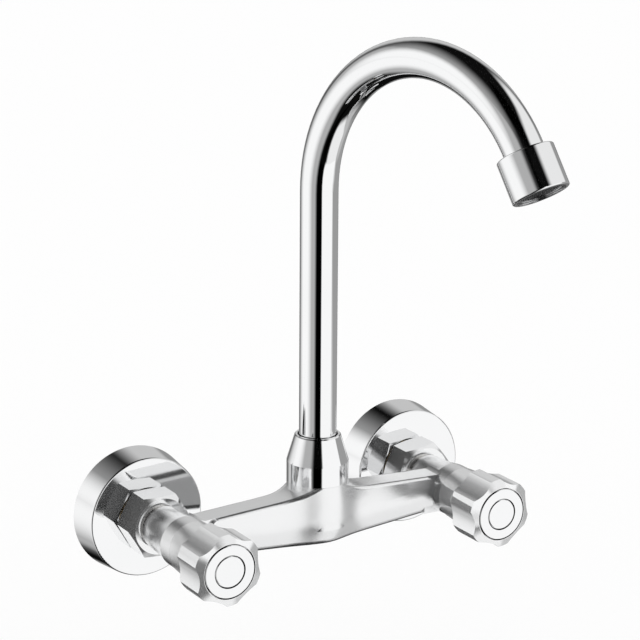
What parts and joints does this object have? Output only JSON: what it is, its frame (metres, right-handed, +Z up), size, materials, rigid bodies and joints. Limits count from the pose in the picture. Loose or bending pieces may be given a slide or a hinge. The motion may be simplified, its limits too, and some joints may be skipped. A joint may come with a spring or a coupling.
{
  "type": "two handle kitchen faucet",
  "caption": "Wall-mounted bridge kitchen mixer in polished chrome with lobed side knobs and a tall swivelling gooseneck spout.",
  "frame": {"origin": "on the wall, midway between the two inlets, at the height of the escutcheons' centres", "axes": "+X to the right as seen from the front, +Y into the wall, +Z up along the riser"},
  "size_m": [0.2125, 0.2111, 0.2697],
  "materials": {
    "chrome": "polished",
    "brass": "turned",
    "rubber": "matt",
    "ceramic": "ground",
    "steel": "plain",
    "nylon": "moulded"
  },
  "bodies": {
    "mixer": {"left_escutcheon": "chrome", "left_coupling_nut": "chrome", "left_union": "brass", "left_inlet_nipple": "brass", "left_bonnet": "brass", "left_inlet_washer": "rubber", "left_seat_seal": "rubber", "left_bonnet_seal": "rubber", "left_fixed_disc": "ceramic", "right_escutcheon": "chrome", "right_coupling_nut": "chrome", "right_union": "brass", "right_inlet_nipple": "brass", "right_bonnet": "brass", "right_inlet_washer": "rubber", "right_seat_seal": "rubber", "right_bonnet_seal": "rubber", "right_fixed_disc": "ceramic", "body": "chrome", "swivel_nut": "chrome", "slip_washer": "nylon"},
    "left_knob": {"left_knob": "chrome", "left_knob_screw": "steel", "left_knob_cap": "chrome", "left_index_button": "chrome", "left_spindle": "brass", "left_spindle_o_rings": "rubber", "left_spindle_clip": "steel", "left_turning_disc": "ceramic"},
    "right_knob": {"right_knob": "chrome", "right_knob_screw": "steel", "right_knob_cap": "chrome", "right_index_button": "chrome", "right_spindle": "brass", "right_spindle_o_rings": "rubber", "right_spindle_clip": "steel", "right_turning_disc": "ceramic"},
    "spout": {"spout_tube": "chrome", "spout_ferrule": "brass", "spout_o_rings": "rubber", "outlet_bush": "brass", "aerator_housing": "chrome", "aerator_washer": "rubber", "aerator_cage": "nylon", "aerator_diffuser": "nylon", "aerator_screen": "steel"}
  },
  "joints": [
    {"name": "spout_swivel", "type": "hinge", "parent": "mixer", "child": "spout", "pos_m": [0, -0.0502, 0], "axis": [0, 0, 1], "range_deg": [-111, 89]},
    {"name": "left_knob_turn", "type": "hinge", "parent": "mixer", "child": "left_knob", "pos_m": [-0.075, -0.0502, 0], "axis": [0, -1, 0], "range_deg": [0, 180]},
    {"name": "right_knob_turn", "type": "hinge", "parent": "mixer", "child": "right_knob", "pos_m": [0.075, -0.0502, 0], "axis": [0, -1, 0], "range_deg": [0, 180]}
  ]
}
